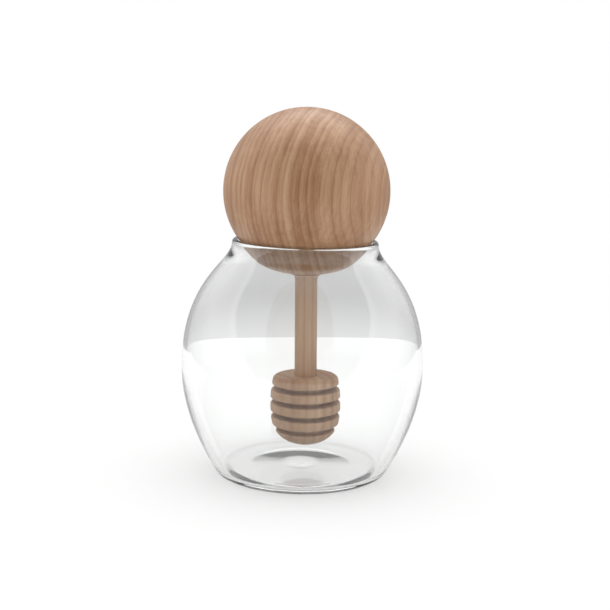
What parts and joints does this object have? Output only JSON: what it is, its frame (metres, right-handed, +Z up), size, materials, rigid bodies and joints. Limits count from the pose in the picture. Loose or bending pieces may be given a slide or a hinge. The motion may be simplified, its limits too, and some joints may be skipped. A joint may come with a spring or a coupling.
{
  "type": "glass honey jar",
  "caption": "Round clear glass jar with a wooden ball resting in its mouth as a stopper and a ribbed wooden dipper hanging from the ball.",
  "frame": {"origin": "on the table under the centre of the jar's round foot", "axes": "+Z up along the jar, -Y the pictured front, +X to the right in the picture; the neck leans half a degree to +X"},
  "size_m": [0.0956, 0.0956, 0.145],
  "materials": {
    "clear_glass": "clear blown glass, polished, thick round lip and heel",
    "ball_wood": "turned hardwood ball, sanded, satin, with curved growth rings and fine pores",
    "dipper_wood": "turned pale hardwood, sanded, dry matte, darker in the grooves"
  },
  "bodies": {
    "root": {"glass_jar": "clear_glass", "ball_stopper": "ball_wood", "honey_dipper": "dipper_wood"}
  },
  "joints": []
}
